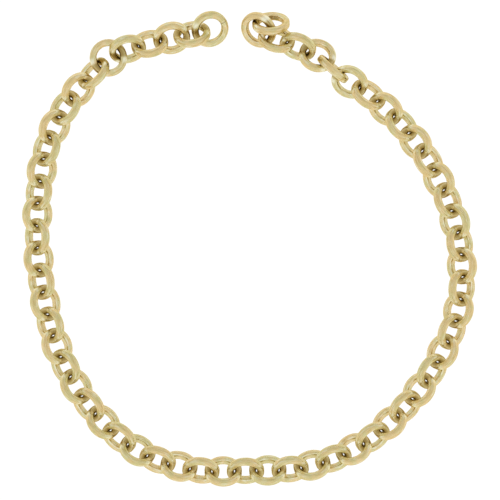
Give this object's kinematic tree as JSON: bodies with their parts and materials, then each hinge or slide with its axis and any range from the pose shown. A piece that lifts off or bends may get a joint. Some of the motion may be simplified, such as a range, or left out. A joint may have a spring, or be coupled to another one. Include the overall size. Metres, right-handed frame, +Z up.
{
  "type": "cable chain necklace",
  "caption": "Open necklace of interlocked round links with a satin gold finish, laid as a ring with two free ends.",
  "frame": {"origin": "on the surface that the chain lies on, under the middle of its outline", "axes": "+Y from the middle of the ring to the two free ends, +X to the right-hand half, +Z up off the surface"},
  "size_m": [0.1451, 0.1519, 0.012],
  "materials": {
    "gold": "pale yellow gold with a satin brushing that runs round each link"
  },
  "bodies": {
    "root": {"end_link": "gold", "chain_right": "gold", "chain_left": "gold", "clasp_link": "gold"}
  },
  "joints": []
}
